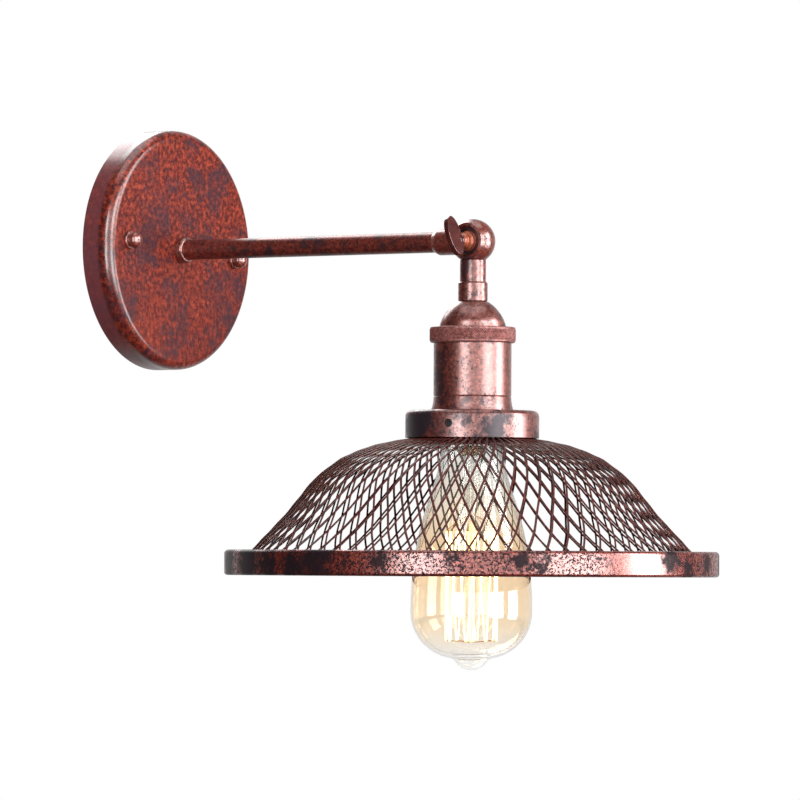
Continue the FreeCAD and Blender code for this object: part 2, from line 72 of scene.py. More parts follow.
def makeCamera(view):
    place = Vector(view["target"]) + view["distance"] * backDirection(view["azimuth"], view["elevation"])
    bpy.ops.object.camera_add(location=place)
    camera = bpy.context.object
    camera.name = "photoCamera"
    aim = Euler((math.radians(90 - view["aimElevation"]), 0, math.radians(view["aimAzimuth"]))).to_matrix()
    turned = aim @ Matrix.Rotation(math.radians(view["roll"]), 3, "Z")
    camera.matrix_world = Matrix.Translation(place) @ turned.to_4x4()
    camera.data.lens = view["lens"]
    camera.data.sensor_width = view["sensor"]
    camera.data.clip_end = 100
    bpy.context.scene.camera = camera


bpy.ops.object.select_all(action="DESELECT")
makeCamera(cameraView)
bpy.context.scene.view_settings.view_transform = "Standard"
print("camera stands")


def linearColour(hexText):
    parts = [int(hexText[i:i + 2], 16) / 255 for i in (0, 2, 4)]
    return [p / 12.92 if p <= 0.04045 else ((p + 0.055) / 1.055) ** 2.4 for p in parts] + [1.0]


def addNode(tree, kind, settings=None, links=None):
    # settings are the node's own properties by name, or its sockets' values by name or number
    node = tree.nodes.new(kind)
    for key, value in (settings or {}).items():
        if key == "stops":
            stops = node.color_ramp.elements
            while len(stops) < len(value):
                stops.new(0.5)
            for stop, (place, colour) in zip(stops, value):
                stop.position = place
                stop.color = colour if isinstance(colour, list) else [colour, colour, colour, 1]
        elif isinstance(key, str) and hasattr(node, key):
            setattr(node, key, value)
        else:
            node.inputs[key].default_value = value
    for key, source in (links or {}).items():
        tree.links.new(source, node.inputs[key])
    return node


def newMaterial(name):
    material = bpy.data.materials.new(name)
    material.use_nodes = True
    material.node_tree.nodes.clear()
    return material, material.node_tree


def combine(tree, operation, first, second):
    # a maths node on two masks, whose answer stays between 0 and 1
    settings = {"operation": operation, "use_clamp": True}
    return addNode(tree, "ShaderNodeMath", settings, {0: first, 1: second}).outputs[0]


def remap(tree, value, low, high, toLow=0.0, toHigh=1.0):
    settings = {"From Min": low, "From Max": high, "To Min": toLow, "To Max": toHigh}
    return addNode(tree, "ShaderNodeMapRange", settings, {"Value": value}).outputs[0]


def ramp(tree, value, stops):
    return addNode(tree, "ShaderNodeValToRGB", {"stops": stops}, {0: value}).outputs[0]


def noise(tree, place, size, detail=1.0, roughness=0.5, distortion=0.0):
    # size in millimetres
    settings = {"Scale": 1 / (size * mm), "Detail": detail, "Roughness": roughness, "Distortion": distortion}
    return addNode(tree, "ShaderNodeTexNoise", settings, {"Vector": place}).outputs


def cover(tree, share, under, overHex):
    settings = {"data_type": "RGBA", 7: linearColour(overHex)}
    return addNode(tree, "ShaderNodeMix", settings, {0: share, 6: under}).outputs[2]


def bump(tree, height, depth):
    # depth in millimetres
    settings = {"Strength": 1.0, "Distance": depth * mm}
    return addNode(tree, "ShaderNodeBump", settings, {"Height": height}).outputs[0]


# five softboxes of two panes each and a lamp above, over a pale floor and in front of white; in metres
studio = {
    "centre": (0.0, -0.16, -0.09),
    "panes": [
        {"name": "softboxSide", "azimuth": 30, "rise": 0.30, "width": 0.72, "height": 0.72, "watts": 22},
        {"name": "softboxFront", "azimuth": -8, "rise": 0.30, "width": 1.00, "height": 0.72, "watts": 21.5},
        {"name": "softboxMiddle", "azimuth": -43, "rise": 0.30, "width": 1.20, "height": 0.72, "watts": 5},
        {"name": "softboxBehind", "azimuth": 150, "rise": 1.50, "width": 1.20, "height": 0.72, "watts": 14},
        {"name": "softboxLeft", "azimuth": -78, "rise": 0.30, "width": 0.70, "height": 0.72, "watts": 15},
    ],
    "paneGap": 0.16,
    "paneDistance": 1.8,
    "fillWatts": 13,
    "fillHeight": 1.7,
    "fillSize": 1.6,
    "ambient": 0.16,          # even light from all round
    "roomHex": "1c1b1d",      # what gloss sees of the dim studio
    "whiteEdge": [(0.40, 0.0), (0.95, 0.75)],        # how far round the lamp gloss meets the white
    "floorHeight": -0.62,
    "floorSize": 40,
    "floorHex": "f2f2f2",
    "floorShadow": 0.22,
    "floorReach": 0.9,        # beyond this the floor is as white as the backdrop
}


def makeSoftbox(pane, height, settings):
    aim = Vector(settings["centre"])
    place = aim + settings["paneDistance"] * backDirection(pane["azimuth"], 0) + upward * height
    bpy.ops.object.light_add(type="AREA", location=place)
    lamp = bpy.context.object
    lamp.name = pane["name"]
    lamp.data.shape = "RECTANGLE"
    lamp.data.size = pane["width"]
    lamp.data.size_y = pane["height"]
    lamp.data.energy = pane["watts"]
    lamp.rotation_euler = (place - aim).to_track_quat("Z", "Y").to_euler()


def makeStudio(settings):
    for pane in settings["panes"]:
        apart = (pane["height"] + settings["paneGap"]) / 2
        for side in (-1, 1):
            makeSoftbox(pane, pane["rise"] + side * apart, settings)
    above = Vector(settings["centre"]) + upward * settings["fillHeight"]
    bpy.ops.object.light_add(type="AREA", location=above)
    fill = bpy.context.object
    fill.name = "softboxAbove"
    fill.data.size = settings["fillSize"]
    fill.data.energy = settings["fillWatts"]


def makeSurround(settings, viewAzimuth):
    world = bpy.data.worlds.new("studioSurround")
    world.use_nodes = True
    bpy.context.scene.world = world
    tree = world.node_tree
    tree.nodes.clear()
    rays = addNode(tree, "ShaderNodeLightPath").outputs
    seen = combine(tree, "ADD", rays["Is Camera Ray"], rays["Is Transmission Ray"])
    # gloss meets the white only where it stands, behind the lamp; the rest of the studio is dim
    heading = addNode(tree, "ShaderNodeTexCoord").outputs["Generated"]
    away = -backDirection(viewAzimuth, 0)
    along = addNode(tree, "ShaderNodeVectorMath", {"operation": "DOT_PRODUCT", 1: away}, {0: heading})
    behind = ramp(tree, along.outputs["Value"], settings["whiteEdge"])
    white = combine(tree, "ADD", seen, combine(tree, "MULTIPLY", rays["Is Glossy Ray"], behind))
    room = addNode(tree, "ShaderNodeMix", {"data_type": "RGBA", 6: [settings["ambient"]] * 3 + [1],
                                           7: linearColour(settings["roomHex"])},
                   {0: rays["Is Glossy Ray"]})
    colour = cover(tree, white, room.outputs[2], "ffffff")
    light = addNode(tree, "ShaderNodeBackground", {"Strength": 1.0}, {"Color": colour})
    addNode(tree, "ShaderNodeOutputWorld", links={"Surface": light.outputs[0]})


def makeFloor(settings):
    bpy.ops.mesh.primitive_plane_add(size=settings["floorSize"], location=(0, 0, settings["floorHeight"]))
    floor = bpy.context.object
    floor.name = "floor"
    # pale matt paint, which gives the eye a soft shadow and no shine
    material, tree = newMaterial("paleStudioFloor")
    rays = addNode(tree, "ShaderNodeLightPath").outputs
    seen = combine(tree, "ADD", rays["Is Camera Ray"], rays["Is Transmission Ray"])
    # the floor takes a soft shadow near the lamp, and fades to the backdrop's white around it
    spot = addNode(tree, "ShaderNodeTexCoord").outputs["Object"]
    middle = Vector((settings["centre"][0], settings["centre"][1], 0))
    away = addNode(tree, "ShaderNodeVectorMath", {"operation": "DISTANCE", 1: middle}, {0: spot})
    share = remap(tree, away.outputs["Value"], 0.0, settings["floorReach"], 1 - settings["floorShadow"])
    paint = addNode(tree, "ShaderNodeBsdfDiffuse", {"Color": linearColour(settings["floorHex"])})
    white = addNode(tree, "ShaderNodeEmission", {"Color": [1, 1, 1, 1], "Strength": 1.0})
    lit = addNode(tree, "ShaderNodeMixShader", links={0: share, 1: paint.outputs[0], 2: white.outputs[0]})
    # it is clear from below, so that the lamp can be looked up at, and to reflections, which stay dim
    side = addNode(tree, "ShaderNodeNewGeometry")
    above = combine(tree, "SUBTRACT", seen, side.outputs["Backfacing"])
    clear = addNode(tree, "ShaderNodeBsdfTransparent")
    both = addNode(tree, "ShaderNodeMixShader", links={0: above, 1: clear.outputs[0], 2: lit.outputs[0]})
    addNode(tree, "ShaderNodeOutputMaterial", links={"Surface": both.outputs[0]})
    floor.data.materials.append(material)


makeStudio(studio)
makeSurround(studio, cameraView["azimuth"])
makeFloor(studio)
print("studio lit")


def cloudsOnPan(depth, clouds):
    # clouds on the canopy's face: across, up and size in millimetres
    return [(Vector((across, -depth, up)) * mm, size) for across, up, size in clouds]


def cloudsAround(radius, clouds):
    # clouds on a turned piece: heading in degrees, height and size in millimetres
    return [(hinge + (backDirection(heading, 0) * radius + upward * height) * mm, size)
            for heading, height, size in clouds]


# Antique copper: steel sprayed copper red, stippled by hand with black glaze and lacquered. The eye gets an
# orange-red, leathery grain with black worm marks and slate clouds, and white where the lacquer meets the
# light. Grain, clouds, marks, dabs and raggedness are sizes in millimetres.
glazePattern = {
    "lineEdge": (1.3, 0.9),       # between these shares of its width a worm mark fades in
    "patchEdge": 0.04,
    "clearEdge": 1.2,             # a spot kept clear of glaze under a highlight fades over this share of its radius
    "sagDepth": 0.05,             # metres below the pan's middle where the wet glaze sagged most
    "sagStretch": 0.4,
    "wallFade": 0.002,
}
panFinish = {
    "grain": 2.4, "spread": 1.5, "cloud": 16.0, "mark": 1.6,
    "darkHex": "290b09", "redHex": "4e140e", "orangeHex": "7a2a19", "brightHex": "9e462d",
    "glazeHex": "2c1c25", "cloudStart": 0.52, "cloudEnd": 0.66, "markWidth": 0.007, "markPatch": 0.56,
    "glazeShare": 0.82, "metal": 0.10, "glazeMetal": 0.0, "roughness": 0.50, "glazeRoughness": 0.55,
    "lacquer": 1.0, "glazeLacquer": 0.93, "lacquerRoughness": 0.26, "lacquerIor": 1.80, "relief": 0.004,
    "depth": 17.0, "lacquerAlong": [(0.01, 0.46), (0.05, 1.0), (0.42, 1.0), (0.52, 0.70)],
    # the side wall's lighter violet is partly a painted reflection of the studio's haze
    "crease": 0.6, "specular": 0.03, "wallDepth": 0.0085, "wallCoatAndSheenHex": "6c3b40", "wallCoatAndSheenShare": 0.60,
    "cloudEdge": 1.3, "ragged": 48.0, "dab": 6.5,
    "clouds": cloudsOnPan(17, [
        (-20, 20, 8), (0, 16, 4.5), (31, 37, 8), (11, 36, 7), (24, 26, 7), (-29, 3, 10), (-34, -7, 9),
        (29, -17, 8), (46, -16, 6), (38, -34, 8), (-46, -28, 7), (-7, -21, 6), (-7, -44, 6), (1, -33, 6),
        (27, -45, 6)])
    + cloudsOnPan(6, [(-59, -6, 8), (-51, -31, 9), (-57, 18, 6)]),
}
# turned pieces are smoother and more metallic: bands of pink-white light with black specks
turnedFinish = {
    "grain": 1.6, "spread": 2.0, "cloud": 12.0, "mark": 1.4,
    "darkHex": "32120f", "redHex": "64281f", "orangeHex": "8e4638", "brightHex": "aa6c60",
    "glazeHex": "1e1a21", "cloudStart": 0.55, "cloudEnd": 0.66, "markWidth": 0.045, "markPatch": 0.52,
    "glazeShare": 0.85, "metal": 0.66, "glazeMetal": 0.35, "roughness": 0.38, "glazeRoughness": 0.40,
    "lacquer": 1.0, "glazeLacquer": 0.25, "lacquerRoughness": 0.30, "lacquerIor": 1.9, "relief": 0.012,
    "crease": 0.0, "specular": 0.4, "cloudEdge": 0.7, "ragged": 22.0, "dab": 4.0,
}
# the holder has small clouds along its sides, those on the side the lamps leave dim partly painted shade, and
# two spots kept clear of glaze where its highlight falls, a painted highlight
holderFinish = dict(
    turnedFinish,
    # the clouds at -110 to -118 degrees, on the side the lamps leave dim, are painted shade as well as glaze
    clouds=cloudsAround(18.9, [(-116, -56, 5), (-118, -66, 6), (-110, -74, 5), (-40, -77, 2.6),
                               (-24, -77, 2.4)])
    + cloudsAround(7.1, [(-62, -26.5, 2.0), (-110, -24, 2.4)]),
    clearUnderHighlight=cloudsAround(18.9, [(-17, -57, 8), (-17, -69, 8)]))
# the gallery's clouds are large, slate and dull; the two at -104 and -120 degrees, on the side the lamps
# leave dim, are painted shade as well as glaze
galleryFinish = dict(
    turnedFinish, cloudStart=0.52, cloudEnd=0.64, glazeHex="201f27", glazeShare=0.94, glazeLacquer=0.10,
    glazeMetal=0.30,
    clouds=cloudsAround(33, [(-104, -88, 9), (-120, -90, 10), (-38, -92, 8), (-30, -87, 5.5)]))
# the tube is darker and duller, mottled with glaze
armFinish = dict(
    turnedFinish, darkHex="2c0e0b", redHex="60211a", orangeHex="86382a", brightHex="a25444", cloud=9.0,
    cloudStart=0.50, cloudEnd=0.62, markWidth=0.03, metal=0.55, lacquer=0.4)
# knurling breaks the gloss up, and rubbing keeps it clear of black
knurlFinish = dict(
    turnedFinish, darkHex="3a1c1a", redHex="66312c", orangeHex="8c5049", brightHex="a87068", metal=0.35,
    lacquer=0.5, lacquerRoughness=0.40, roughness=0.50, cloudStart=0.62, cloudEnd=0.72, markWidth=0.010,
    lacquerIor=1.7)
# the wing is handled most, and its glaze has gone dark and smooth; its boss sits in the pocket's shade and is
# painted orange as painted light
handledFinish = dict(
    turnedFinish, darkHex="2c100e", redHex="451713", orangeHex="60251e", brightHex="7c382e", metal=0.5,
    lacquer=0.6, roughness=0.28, lacquerRoughness=0.18, lacquerIor=1.8, spread=3.2, relief=0.008,
    bossDepth=0.0112, bossRadius=0.0051, bossPaintedLightHex="9a5038")
# the ball is orange under its shine; the pocket round the clamp screw is painted black, partly glaze settled
# there and partly painted shade of the recess, and the clouds on the neck's top under the ball are painted
# shadow
knuckleFinish = dict(
    turnedFinish, orangeHex="8e3a24", brightHex="a4523a", lacquerRoughness=0.27, spread=2.8, relief=0.008,
    pocketShadeDepth=0.0085, pocketShadeRadius=0.0069, metal=0.5, lacquer=0.9, lacquerIor=2.0,
    # painted shadow: these clouds lie on the neck's top, under the ball
    clouds=cloudsAround(6.9, [(-100, -9.4, 2.8), (-66, -8.9, 2.2), (-40, -8.8, 1.6), (-112, -15, 3.4),
                              (-88, -13, 3.2), (-92, -18, 3.4)]))
# the band is painted nearly black on the side the lamps leave dim, painted shade as well as glaze, then pink
# with fine worm marks, and kept clear of glaze where it shines most, a painted highlight
bandFinish = dict(
    turnedFinish, spread=2.6, cloud=9.0, mark=1.05, cloudStart=0.56, cloudEnd=0.64, markWidth=0.085,
    markPatch=0.44, glazeLacquer=0.02, glazeShare=0.96, darkHex="300a07", redHex="681c12",
    orangeHex="9c402c", brightHex="c2725c", glazeHex="17151a", glazeMetal=0.15, specular=0.1,
    lacquer=0.95, lacquerIor=2.0, lacquerRoughness=0.26, cloudEdge=0.60,
    # the clouds from -94 to -133 degrees, on the side the lamps leave dim, are painted shade as well as glaze
    clouds=cloudsAround(120, [(-77, -155, 5), (-94, -155, 11), (-101, -158, 8), (-110, -157, 8),
                              (-119, -156, 12), (-133, -156, 12), (-45, -155, 5), (-41, -158, 3.5),
                              (-60, -154, 3.5), (-4, -154, 7), (3, -158, 6), (14, -156, 6), (30, -156, 9)]),
    clearUnderHighlight=cloudsAround(120, [(-13, -156, 17)]))
# wire takes the glaze all round: dark red-brown with a thin line of light
strandFinish = dict(
    turnedFinish, darkHex="1a0706", redHex="38120e", orangeHex="561f16", brightHex="743024", metal=0.4,
    lacquer=0.30, roughness=0.40, markWidth=0.01, specular=0.2, lacquerIor=1.6, lacquerRoughness=0.25)


def roundScrew(tree, place, radius, depth):
    # a mask of one round the clamp screw's line, out to a radius and a depth from the ball's middle
    centred = addNode(tree, "ShaderNodeVectorMath", {"operation": "SUBTRACT", 1: hinge}, {0: place})
    flat = addNode(tree, "ShaderNodeVectorMath", {"operation": "MULTIPLY", 1: (0, 1, 1)},
                   {0: centred.outputs[0]})
    across = addNode(tree, "ShaderNodeVectorMath", {"operation": "LENGTH"}, {0: flat.outputs[0]})
    inside = addNode(tree, "ShaderNodeMath", {"operation": "LESS_THAN", 1: radius},
                     {0: across.outputs["Value"]})
    side = addNode(tree, "ShaderNodeSeparateXYZ", links={0: centred.outputs[0]})
    deep = addNode(tree, "ShaderNodeMath", {"operation": "GREATER_THAN", 1: -depth}, {0: side.outputs["X"]})
    return combine(tree, "MULTIPLY", inside.outputs[0], deep.outputs[0])


def oneCloud(tree, ragged, centre, size, edge):
    # a mask of one in a ball's middle, which fades out over a share of its radius
    away = addNode(tree, "ShaderNodeVectorMath", {"operation": "DISTANCE", 1: centre}, {0: ragged})
    return remap(tree, away.outputs["Value"], size * mm * (1 + edge / 2), size * mm * (1 - edge / 2))


def glazeMask(tree, place, look):
    clouds = noise(tree, place, look["cloud"], 6.0, 0.68, 0.3)
    cloudy = ramp(tree, clouds[0], [(look["cloudStart"], 0.0), (look["cloudEnd"], 1.0)])
    # worm marks lie where a noise crosses its middle value, broken up by a second noise
    marks = noise(tree, place, look["mark"], 1.0, 0.4, 0.5)
    patches = noise(tree, place, look["mark"] * 1.3)
    offset = addNode(tree, "ShaderNodeMath", {"operation": "SUBTRACT", 1: 0.5}, {0: marks[0]})
    ridge = addNode(tree, "ShaderNodeMath", {"operation": "ABSOLUTE"}, {0: offset.outputs[0]})
    outer, inner = (look["markWidth"] * share for share in glazePattern["lineEdge"])
    line = remap(tree, ridge.outputs[0], outer, inner)
    broken = remap(tree, patches[0], look["markPatch"], look["markPatch"] + glazePattern["patchEdge"])
    dark = combine(tree, "MAXIMUM", cloudy, combine(tree, "MULTIPLY", line, broken))
    # some spots are kept clear of glaze where highlights fall, a painted highlight, then large clouds were
    # dabbed on by hand, with ragged edges; on dim sides some clouds are painted shade
    dabs = noise(tree, place, look["dab"], 5.0, 0.65)
    reach = look["ragged"] * mm
    shift = addNode(tree, "ShaderNodeVectorMath", {"operation": "MULTIPLY_ADD", 1: [reach] * 3,
                                                   2: [-reach / 2] * 3}, {0: dabs["Color"]})
    ragged = addNode(tree, "ShaderNodeVectorMath", {"operation": "ADD"},
                     {0: place, 1: shift.outputs[0]}).outputs[0]
    # painted highlight: spots under the lamps' highlights are kept clear of glaze
    for centre, size in look.get("clearUnderHighlight", []):
        clearSpot = oneCloud(tree, ragged, centre, size, glazePattern["clearEdge"])
        dark = combine(tree, "SUBTRACT", dark, clearSpot)
    for centre, size in look.get("clouds", []):
        dabbed = oneCloud(tree, ragged, centre, size, look["cloudEdge"])
        dark = combine(tree, "MAXIMUM", dark, dabbed)
    # painted shade: the pocket round the clamp screw is laid dark
    if "pocketShadeRadius" in look:
        pocket = roundScrew(tree, place, look["pocketShadeRadius"], look["pocketShadeDepth"])
        dark = combine(tree, "MAXIMUM", dark, pocket)
    return dark


def agedCopper(name, look):
    material, tree = newMaterial(name)
    place = addNode(tree, "ShaderNodeTexCoord").outputs["Object"]
    apart = addNode(tree, "ShaderNodeSeparateXYZ", links={0: place}).outputs
    # the grain is drawn out downward in the lower part of the pan
    sag = remap(tree, apart["Z"], 0.0, -glazePattern["sagDepth"], 0.0, look["crease"])
    drawn = addNode(tree, "ShaderNodeMapping", {"Scale": (1, 1, glazePattern["sagStretch"])},
                    {"Vector": place})
    grains = [noise(tree, source, look["grain"], 4.0, 0.68)[0] for source in (place, drawn.outputs[0])]
    grain = addNode(tree, "ShaderNodeMix", links={0: sag, 2: grains[0], 3: grains[1]}).outputs[0]
    shades = ((-0.12, "darkHex"), (-0.03, "redHex"), (0.05, "orangeHex"), (0.16, "brightHex"))
    stops = [(0.5 + step * look["spread"], linearColour(look[shade])) for step, shade in shades]
    dark = glazeMask(tree, place, look)
    glaze = addNode(tree, "ShaderNodeMath", {"operation": "MULTIPLY", 1: look["glazeShare"]},
                    {0: dark}).outputs[0]
    colour = cover(tree, glaze, ramp(tree, grain, stops), look["glazeHex"])
    # painted light: the clamp screw's boss, down in the pocket's shade, is coloured orange
    if "bossPaintedLightHex" in look:
        boss = roundScrew(tree, place, look["bossRadius"], look["bossDepth"])
        colour = cover(tree, boss, colour, look["bossPaintedLightHex"])
    if "wallCoatAndSheenHex" in look:
        # the pan's side wall is covered with a lighter violet: partly its thinner coat, partly a painted
        # reflection of the studio's haze
        edge = -look["wallDepth"]
        wall = remap(tree, apart["Y"], edge - glazePattern["wallFade"], edge, 0.0, look["wallCoatAndSheenShare"])
        colour = cover(tree, wall, colour, look["wallCoatAndSheenHex"])
    metal = remap(tree, glaze, 0.0, 1.0, look["metal"], look["glazeMetal"])
    rough = remap(tree, glaze, 0.0, 1.0, look["roughness"], look["glazeRoughness"])
    # the glaze is duller than the lacquered copper beside it
    coat = remap(tree, dark, 0.0, 1.0, look["lacquer"], look["glazeLacquer"])
    if "lacquerAlong" in look:
        # on the pan the lacquer gathered on the rounded edge, and is thin on the flat face and the side wall
        along = remap(tree, apart["Y"], -look["depth"] * mm, 0.0)
        coat = combine(tree, "MULTIPLY", coat, ramp(tree, along, look["lacquerAlong"]))
    skin = addNode(tree, "ShaderNodeBsdfPrincipled",
                   {"Coat Roughness": look["lacquerRoughness"], "Coat IOR": look["lacquerIor"],
                    "Specular IOR Level": look["specular"]},
                   {"Base Color": colour, "Metallic": metal, "Roughness": rough, "Coat Weight": coat,
                    "Normal": bump(tree, grain, look["relief"])})
    addNode(tree, "ShaderNodeOutputMaterial", links={"Surface": skin.outputs[0]})
    return material


# Plain metals, glass and ceramic: an even colour with the faint mottle that rolling, plating or glazing
# leaves, of a size in millimetres.
plainFinishes = {
    # pale grey, softly clouded
    "zincPlatedSteel": {"hex": "b9bab8", "metal": 1.0, "roughness": 0.34, "mottle": 2.5, "spread": 0.12,
                        "relief": 0.01},
    # warm yellow, brighter than the copper round it
    "drawnBrass": {"hex": "c9a25a", "metal": 1.0, "roughness": 0.30, "mottle": 3.0, "spread": 0.10,
                   "relief": 0.01},
    # thin brass, darker and browner than the drawn brass
    "rolledBulbBrass": {"hex": "8a6c4c", "metal": 1.0, "roughness": 0.26, "mottle": 2.0, "spread": 0.10,
                        "relief": 0.01},
    # white ceramic with a wet gloss
    "glazedSteatite": {"hex": "e6e3da", "metal": 0.0, "roughness": 0.22, "mottle": 6.0, "spread": 0.05,
                       "relief": 0.02},
    # deep black with sharp reflections
    "blackGlass": {"hex": "17171a", "metal": 0.0, "roughness": 0.10, "mottle": 4.0, "spread": 0.10,
                   "relief": 0.005},
    # dull and lumpy grey
    "softSolder": {"hex": "a8a9a8", "metal": 1.0, "roughness": 0.45, "mottle": 0.8, "spread": 0.20,
                   "relief": 0.03},
    # nearly black, with hardly any shine
    "blackenedSteel": {"hex": "0c0b0b", "metal": 0.2, "roughness": 0.60, "mottle": 1.0, "spread": 0.30,
                       "relief": 0.01},
    # thin wires, painted orange for the filament's light on them
    "molybdenumWire": {"hex": "b07c48", "metal": 1.0, "roughness": 0.35, "mottle": 1.0, "spread": 0.15,
                       "relief": 0.005},
}


def plainFinish(name, look):
    material, tree = newMaterial(name)
    place = addNode(tree, "ShaderNodeTexCoord").outputs["Object"]
    mottle = noise(tree, place, look["mottle"], 4.0)[0]
    base = linearColour(look["hex"])
    darker = [c * (1 - look["spread"]) for c in base[:3]] + [1]
    colour = ramp(tree, mottle, [(0.35, darker), (0.65, base)])
    rough = remap(tree, mottle, 0.3, 0.7, look["roughness"] * 0.8, look["roughness"] * 1.2)
    skin = addNode(tree, "ShaderNodeBsdfPrincipled", {"Metallic": look["metal"]},
                   {"Base Color": colour, "Roughness": rough, "Normal": bump(tree, mottle, look["relief"])})
    addNode(tree, "ShaderNodeOutputMaterial", links={"Surface": skin.outputs[0]})
    return material


# Blown soda-lime glass: clear at the neck and tip, tinted faintly amber about the filament's height as a
# painted glow of its light, and wavy by hundredths of a millimetre. Tints go by height in metres.
glassFinishes = {
    "amberBlownGlass": {"tints": [(-0.203, "fefdfb"), (-0.186, "fcf0de"), (-0.150, "fbe8cf"),
                                  (-0.128, "f8f1e6"), (-0.105, "f3f3f1")],
                        "roughness": 0.0, "ior": 1.46, "wave": 16.0, "relief": 0.02,
                        "paintedGlowHex": "000000", "glow": 0.0, "paintedGlowFrom": -0.130, "paintedGlowFull": -0.136},
    "clearStemGlass": {"tints": [(-0.203, "fdfdfb"), (-0.100, "fdfdfb")],
                       "roughness": 0.03, "ior": 1.46, "wave": 5.0, "relief": 0.02,
                       "paintedGlowHex": "ffe060", "glow": 0.5, "paintedGlowFrom": -0.135, "paintedGlowFull": -0.141},
}


def glassFinish(name, look):
    material, tree = newMaterial(name)
    place = addNode(tree, "ShaderNodeTexCoord").outputs["Object"]
    height = addNode(tree, "ShaderNodeSeparateXYZ", links={0: place}).outputs["Z"]
    low, high = look["tints"][0][0], look["tints"][-1][0]
    stops = [((level - low) / (high - low), linearColour(shade)) for level, shade in look["tints"]]
    tint = ramp(tree, remap(tree, height, low, high), stops)
    wave = noise(tree, place, look["wave"])[0]
    # painted glow: the stem glass gives out light along the rod inside it, standing in for the filament's
    # light caught there
    lit = remap(tree, height, look["paintedGlowFrom"], look["paintedGlowFull"], 0.0, look["glow"])
    skin = addNode(tree, "ShaderNodeBsdfPrincipled",
                   {"Roughness": look["roughness"], "IOR": look["ior"], "Transmission Weight": 1.0,
                    "Emission Color": linearColour(look["paintedGlowHex"])},
                   {"Base Color": tint, "Normal": bump(tree, wave, look["relief"]), "Emission Strength": lit})
    addNode(tree, "ShaderNodeOutputMaterial", links={"Surface": skin.outputs[0]})
    return material


# Carbon filament at full heat: yellow-white, a little redder where its hooks cool it.
filamentLook = {"sootHex": "2a2522", "hotHex": "fff0b8", "coolHex": "ffb860", "glow": 7.0,
                "span": (-0.1945, -0.1405)}


def glowingCarbon(name, look):
    material, tree = newMaterial(name)
    place = addNode(tree, "ShaderNodeTexCoord").outputs["Object"]
    height = addNode(tree, "ShaderNodeSeparateXYZ", links={0: place}).outputs["Z"]
    low, high = look["span"]
    shades = ((0.0, "coolHex"), (0.07, "hotHex"), (0.93, "hotHex"), (1.0, "coolHex"))
    stops = [(step, linearColour(look[shade])) for step, shade in shades]
    skin = addNode(tree, "ShaderNodeBsdfPrincipled",
                   {"Base Color": linearColour(look["sootHex"]), "Roughness": 0.6,
                    "Emission Strength": look["glow"]},
                   {"Emission Color": ramp(tree, remap(tree, height, low, high), stops)})
    addNode(tree, "ShaderNodeOutputMaterial", links={"Surface": skin.outputs[0]})
    return material


finishes = {
    "pan": agedCopper("antiqueCopperPan", panFinish),
    "turned": agedCopper("antiqueCopperTurned", holderFinish),
    "arm": agedCopper("antiqueCopperTube", armFinish),
    "knurl": agedCopper("antiqueCopperKnurl", knurlFinish),
    "handled": agedCopper("antiqueCopperHandled", handledFinish),
    "knuckle": agedCopper("antiqueCopperKnuckle", knuckleFinish),
    "gallery": agedCopper("antiqueCopperGallery", galleryFinish),
    "band": agedCopper("antiqueCopperBand", bandFinish),
    "strand": agedCopper("antiqueCopperWire", strandFinish),
    "filament": glowingCarbon("glowingCarbon", filamentLook),
}
for title, look in plainFinishes.items():
    finishes[title] = plainFinish(title, look)
for title, look in glassFinishes.items():
    finishes[title] = glassFinish(title, look)

# the CAD nodes take the same finishes as the pieces that dress them
nodeFinishes = {
    "pan": ["canopy"],
    "turned": ["arm_flange", "neck_sleeve", "dome_cap", "knurled_ring", "socket_shell"],
    "gallery": ["shade_gallery"],
    "knuckle": ["knuckle_arm_half", "knuckle_lamp_half", "cap_nuts"],
    "handled": ["clamp_washer", "thumb_screw"],
    "arm": ["arm_tube"],
    "band": ["shade_rim", "rim_flange"],
    "strand": ["mesh_outer_strands", "mesh_inner_strands", "mesh_top_band"],
    "zincPlatedSteel": ["mounting_strap", "canopy_studs", "arm_washer", "arm_locknut", "cap_locknut",
                        "threaded_nipple", "shade_ring", "terminal_screws"],
    "blackenedSteel": ["gallery_grub_screws"],
    "drawnBrass": ["ground_screw", "screw_shell", "centre_contact"],
    "glazedSteatite": ["lamp_holder"],
    "amberBlownGlass": ["bulb_glass"],
    "clearStemGlass": ["bulb_stem"],
    "rolledBulbBrass": ["bulb_screw_base"],
    "blackGlass": ["bulb_insulator"],
    "softSolder": ["bulb_contact"],
    "filament": ["bulb_filament"],
    "molybdenumWire": ["filament_supports"],
}
for title, names in nodeFinishes.items():
    for name in names:
        frame["nodes"][name].material_slots[0].material = finishes[title]
print("finishes made")


def deselectAll():
    if bpy.context.mode != "OBJECT":
        bpy.ops.object.mode_set(mode="OBJECT")
    bpy.ops.object.select_all(action="DESELECT")


def selectWhere(piece, test):
    mesh = bmesh.from_edit_mesh(piece.data)
    for vertex in mesh.verts:
        vertex.select_set(test(vertex.co))
    mesh.select_flush(True)
    mesh.select_flush(False)
    bmesh.update_edit_mesh(piece.data)


def turnSelection(angle, axis, centre):
    # without a window the operator turns the other way, so the angle is negated
    bpy.ops.transform.rotate(value=-angle, orient_axis=axis, orient_type="GLOBAL", center_override=centre)


